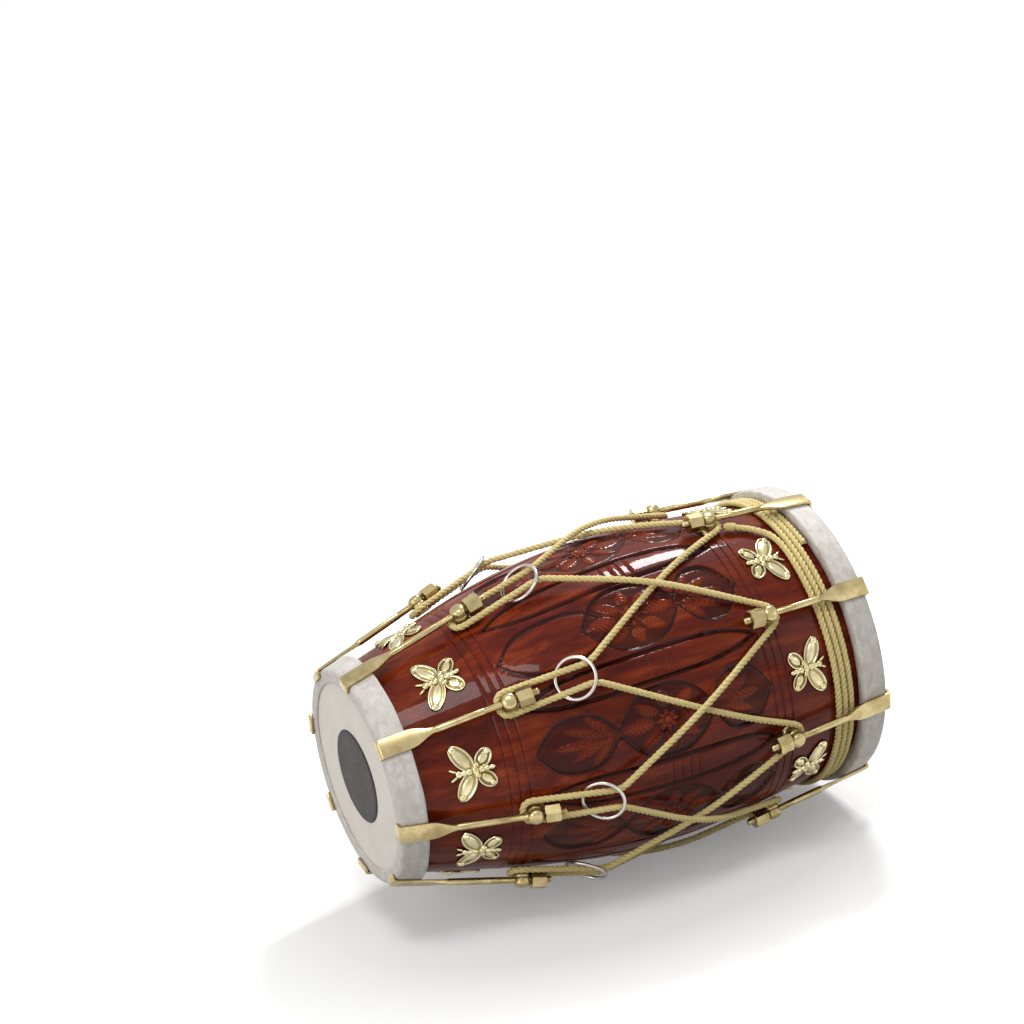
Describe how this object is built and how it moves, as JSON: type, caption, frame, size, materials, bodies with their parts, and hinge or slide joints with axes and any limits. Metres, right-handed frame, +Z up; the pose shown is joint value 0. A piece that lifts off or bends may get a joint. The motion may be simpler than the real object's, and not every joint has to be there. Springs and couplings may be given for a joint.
{
  "type": "barrel hand drum",
  "caption": "Double-headed barrel hand drum lying on its side, with hooked tuning rods and nuts, brass saddles, zigzag rope lacing, sliding tension rings and a rope winding.",
  "frame": {"origin": "under the middle of the drum's box, on the surface it lies on", "axes": "+X along the drum towards the wide head, +Z up, -Y towards the viewer of the picture"},
  "size_m": [0.4512, 0.3014, 0.3013],
  "materials": {
    "lacquered_wood": "gloss lacquer",
    "drum_skin": "matte skin",
    "collar_skin": "satin",
    "steel": "satin",
    "tuning_paste": "matte",
    "ring_metal": "polished",
    "rope": "twisted cord",
    "brass": "plated"
  },
  "bodies": {
    "drum": {"shell": "lacquered_wood", "tuning_patch": "tuning_paste", "bass_paste": "tuning_paste", "small_head_skin": "drum_skin", "small_collar": "collar_skin", "small_hoop": "steel", "large_head_skin": "drum_skin", "large_collar": "collar_skin", "large_hoop": "steel", "small_end_saddles": "brass", "small_end_butterflies": "brass", "large_end_saddles": "brass", "large_end_butterflies": "brass", "lacing_rope_over": "rope", "lacing_rope_under": "rope", "tail_winding": "rope"},
    "small_hook_1": {"small_hook_1": "brass"},
    "small_nut_1": {"small_nut_1": "brass"},
    "small_hook_2": {"small_hook_2": "brass"},
    "small_nut_2": {"small_nut_2": "brass"},
    "small_hook_3": {"small_hook_3": "brass"},
    "small_nut_3": {"small_nut_3": "brass"},
    "small_hook_4": {"small_hook_4": "brass"},
    "small_nut_4": {"small_nut_4": "brass"},
    "small_hook_5": {"small_hook_5": "brass"},
    "small_nut_5": {"small_nut_5": "brass"},
    "small_hook_6": {"small_hook_6": "brass"},
    "small_nut_6": {"small_nut_6": "brass"},
    "small_hook_7": {"small_hook_7": "brass"},
    "small_nut_7": {"small_nut_7": "brass"},
    "small_hook_8": {"small_hook_8": "brass"},
    "small_nut_8": {"small_nut_8": "brass"},
    "large_hook_1": {"large_hook_1": "brass"},
    "large_nut_1": {"large_nut_1": "brass"},
    "large_hook_2": {"large_hook_2": "brass"},
    "large_nut_2": {"large_nut_2": "brass"},
    "large_hook_3": {"large_hook_3": "brass"},
    "large_nut_3": {"large_nut_3": "brass"},
    "large_hook_4": {"large_hook_4": "brass"},
    "large_nut_4": {"large_nut_4": "brass"},
    "large_hook_5": {"large_hook_5": "brass"},
    "large_nut_5": {"large_nut_5": "brass"},
    "large_hook_6": {"large_hook_6": "brass"},
    "large_nut_6": {"large_nut_6": "brass"},
    "large_hook_7": {"large_hook_7": "brass"},
    "large_nut_7": {"large_nut_7": "brass"},
    "large_hook_8": {"large_hook_8": "brass"},
    "large_nut_8": {"large_nut_8": "brass"},
    "tension_ring_1": {"tension_ring_1": "ring_metal"},
    "tension_ring_2": {"tension_ring_2": "ring_metal"},
    "tension_ring_3": {"tension_ring_3": "ring_metal"},
    "tension_ring_4": {"tension_ring_4": "ring_metal"},
    "tension_ring_5": {"tension_ring_5": "ring_metal"},
    "tension_ring_6": {"tension_ring_6": "ring_metal"},
    "tension_ring_7": {"tension_ring_7": "ring_metal"},
    "tension_ring_8": {"tension_ring_8": "ring_metal"}
  },
  "joints": [
    {"name": "small_nut_1_turn", "type": "hinge", "parent": "drum", "child": "small_nut_1", "pos_m": [-0.11037, -0.02228, 0.27505], "axis": [0.9526, -0.0496, 0.3001], "range_deg": [0, 2880]},
    {"name": "small_hook_1_slide", "type": "slide", "parent": "drum", "child": "small_hook_1", "axis": [-0.9526, 0.0496, -0.3001], "range_m": [0, 0.008]},
    {"name": "small_nut_2_turn", "type": "hinge", "parent": "drum", "child": "small_nut_2", "pos_m": [-0.10951, -0.10613, 0.22187], "axis": [0.9545, -0.2364, 0.1816], "range_deg": [0, 2880]},
    {"name": "small_hook_2_slide", "type": "slide", "parent": "drum", "child": "small_hook_2", "axis": [-0.9545, 0.2364, -0.1816], "range_m": [0, 0.008]},
    {"name": "small_nut_3_turn", "type": "hinge", "parent": "drum", "child": "small_nut_3", "pos_m": [-0.10796, -0.1278, 0.12498], "axis": [0.958, -0.2847, -0.0343], "range_deg": [0, 2880]},
    {"name": "small_hook_3_slide", "type": "slide", "parent": "drum", "child": "small_hook_3", "axis": [-0.958, 0.2847, 0.0343], "range_m": [0, 0.008]},
    {"name": "small_nut_4_turn", "type": "hinge", "parent": "drum", "child": "small_nut_4", "pos_m": [-0.10661, -0.07462, 0.04115], "axis": [0.961, -0.1662, -0.221], "range_deg": [0, 2880]},
    {"name": "small_hook_4_slide", "type": "slide", "parent": "drum", "child": "small_hook_4", "axis": [-0.961, 0.1662, 0.221], "range_m": [0, 0.008]},
    {"name": "small_nut_5_turn", "type": "hinge", "parent": "drum", "child": "small_nut_5", "pos_m": [-0.10626, 0.02228, 0.01947], "axis": [0.9618, 0.0496, -0.2693], "range_deg": [0, 2880]},
    {"name": "small_hook_5_slide", "type": "slide", "parent": "drum", "child": "small_hook_5", "axis": [-0.9618, -0.0496, 0.2693], "range_m": [0, 0.008]},
    {"name": "small_nut_6_turn", "type": "hinge", "parent": "drum", "child": "small_nut_6", "pos_m": [-0.10712, 0.10613, 0.07265], "axis": [0.9599, 0.2364, -0.1508], "range_deg": [0, 2880]},
    {"name": "small_hook_6_slide", "type": "slide", "parent": "drum", "child": "small_hook_6", "axis": [-0.9599, -0.2364, 0.1508], "range_m": [0, 0.008]},
    {"name": "small_nut_7_turn", "type": "hinge", "parent": "drum", "child": "small_nut_7", "pos_m": [-0.10867, 0.1278, 0.16954], "axis": [0.9564, 0.2847, 0.065], "range_deg": [0, 2880]},
    {"name": "small_hook_7_slide", "type": "slide", "parent": "drum", "child": "small_hook_7", "axis": [-0.9564, -0.2847, -0.065], "range_m": [0, 0.008]},
    {"name": "small_nut_8_turn", "type": "hinge", "parent": "drum", "child": "small_nut_8", "pos_m": [-0.11002, 0.07462, 0.25337], "axis": [0.9534, 0.1662, 0.2518], "range_deg": [0, 2880]},
    {"name": "small_hook_8_slide", "type": "slide", "parent": "drum", "child": "small_hook_8", "axis": [-0.9534, -0.1662, -0.2518], "range_m": [0, 0.008]},
    {"name": "large_nut_1_turn", "type": "hinge", "parent": "drum", "child": "large_nut_1", "pos_m": [0.11412, -0.02476, 0.29289], "axis": [-0.9974, -0.015, 0.0699], "range_deg": [0, 2880]},
    {"name": "large_hook_1_slide", "type": "slide", "parent": "drum", "child": "large_hook_1", "axis": [0.9974, 0.015, -0.0699], "range_m": [0, 0.008]},
    {"name": "large_nut_2_turn", "type": "hinge", "parent": "drum", "child": "large_nut_2", "pos_m": [0.11507, -0.11794, 0.23378], "axis": [-0.9969, -0.0713, 0.0341], "range_deg": [0, 2880]},
    {"name": "large_hook_2_slide", "type": "slide", "parent": "drum", "child": "large_hook_2", "axis": [0.9969, 0.0713, -0.0341], "range_m": [0, 0.008]},
    {"name": "large_nut_3_turn", "type": "hinge", "parent": "drum", "child": "large_nut_3", "pos_m": [0.11679, -0.14204, 0.12611], "axis": [-0.9958, -0.0859, -0.031], "range_deg": [0, 2880]},
    {"name": "large_hook_3_slide", "type": "slide", "parent": "drum", "child": "large_hook_3", "axis": [0.9958, 0.0859, 0.031], "range_m": [0, 0.008]},
    {"name": "large_nut_4_turn", "type": "hinge", "parent": "drum", "child": "large_nut_4", "pos_m": [0.11829, -0.08292, 0.03294], "axis": [-0.9949, -0.0501, -0.0873], "range_deg": [0, 2880]},
    {"name": "large_hook_4_slide", "type": "slide", "parent": "drum", "child": "large_hook_4", "axis": [0.9949, 0.0501, 0.0873], "range_m": [0, 0.008]},
    {"name": "large_nut_5_turn", "type": "hinge", "parent": "drum", "child": "large_nut_5", "pos_m": [0.11868, 0.02476, 0.00885], "axis": [-0.9947, 0.015, -0.1018], "range_deg": [0, 2880]},
    {"name": "large_hook_5_slide", "type": "slide", "parent": "drum", "child": "large_hook_5", "axis": [0.9947, -0.015, 0.1018], "range_m": [0, 0.008]},
    {"name": "large_nut_6_turn", "type": "hinge", "parent": "drum", "child": "large_nut_6", "pos_m": [0.11773, 0.11794, 0.06796], "axis": [-0.9953, 0.0713, -0.0661], "range_deg": [0, 2880]},
    {"name": "large_hook_6_slide", "type": "slide", "parent": "drum", "child": "large_hook_6", "axis": [0.9953, -0.0713, 0.0661], "range_m": [0, 0.008]},
    {"name": "large_nut_7_turn", "type": "hinge", "parent": "drum", "child": "large_nut_7", "pos_m": [0.116, 0.14204, 0.17563], "axis": [-0.9963, 0.0859, -0.001], "range_deg": [0, 2880]},
    {"name": "large_hook_7_slide", "type": "slide", "parent": "drum", "child": "large_hook_7", "axis": [0.9963, -0.0859, 0.001], "range_m": [0, 0.008]},
    {"name": "large_nut_8_turn", "type": "hinge", "parent": "drum", "child": "large_nut_8", "pos_m": [0.1145, 0.08292, 0.2688], "axis": [-0.9972, 0.0501, 0.0553], "range_deg": [0, 2880]},
    {"name": "large_hook_8_slide", "type": "slide", "parent": "drum", "child": "large_hook_8", "axis": [0.9972, -0.0501, -0.0553], "range_m": [0, 0.008]},
    {"name": "tension_ring_1_slide", "type": "slide", "parent": "drum", "child": "tension_ring_1", "axis": [-0.9509, 0.0506, -0.3052], "range_m": [0, 0.008]},
    {"name": "tension_ring_2_slide", "type": "slide", "parent": "drum", "child": "tension_ring_2", "axis": [-0.9529, 0.2408, -0.1846], "range_m": [0, 0.008]},
    {"name": "tension_ring_3_slide", "type": "slide", "parent": "drum", "child": "tension_ring_3", "axis": [-0.9564, 0.2899, 0.0352], "range_m": [0, 0.008]},
    {"name": "tension_ring_4_slide", "type": "slide", "parent": "drum", "child": "tension_ring_4", "axis": [-0.9595, 0.1693, 0.2254], "range_m": [0, 0.008]},
    {"name": "tension_ring_5_slide", "type": "slide", "parent": "drum", "child": "tension_ring_5", "axis": [-0.9602, -0.0506, 0.2746], "range_m": [0, 0.008]},
    {"name": "tension_ring_6_slide", "type": "slide", "parent": "drum", "child": "tension_ring_6", "axis": [-0.9583, -0.2408, 0.1539], "range_m": [0, 0.008]},
    {"name": "tension_ring_7_slide", "type": "slide", "parent": "drum", "child": "tension_ring_7", "axis": [-0.9548, -0.2899, -0.0659], "range_m": [0, 0.008]},
    {"name": "tension_ring_8_slide", "type": "slide", "parent": "drum", "child": "tension_ring_8", "axis": [-0.9517, -0.1693, -0.2561], "range_m": [0, 0.008]}
  ],
  "couplings": [
    {"joint": "small_nut_1_turn", "follows": "small_hook_1_slide", "rad_per_m": 6283},
    {"joint": "small_nut_2_turn", "follows": "small_hook_2_slide", "rad_per_m": 6283},
    {"joint": "small_nut_3_turn", "follows": "small_hook_3_slide", "rad_per_m": 6283},
    {"joint": "small_nut_4_turn", "follows": "small_hook_4_slide", "rad_per_m": 6283},
    {"joint": "small_nut_5_turn", "follows": "small_hook_5_slide", "rad_per_m": 6283},
    {"joint": "small_nut_6_turn", "follows": "small_hook_6_slide", "rad_per_m": 6283},
    {"joint": "small_nut_7_turn", "follows": "small_hook_7_slide", "rad_per_m": 6283},
    {"joint": "small_nut_8_turn", "follows": "small_hook_8_slide", "rad_per_m": 6283},
    {"joint": "large_nut_1_turn", "follows": "large_hook_1_slide", "rad_per_m": 6283},
    {"joint": "large_nut_2_turn", "follows": "large_hook_2_slide", "rad_per_m": 6283},
    {"joint": "large_nut_3_turn", "follows": "large_hook_3_slide", "rad_per_m": 6283},
    {"joint": "large_nut_4_turn", "follows": "large_hook_4_slide", "rad_per_m": 6283},
    {"joint": "large_nut_5_turn", "follows": "large_hook_5_slide", "rad_per_m": 6283},
    {"joint": "large_nut_6_turn", "follows": "large_hook_6_slide", "rad_per_m": 6283},
    {"joint": "large_nut_7_turn", "follows": "large_hook_7_slide", "rad_per_m": 6283},
    {"joint": "large_nut_8_turn", "follows": "large_hook_8_slide", "rad_per_m": 6283}
  ]
}
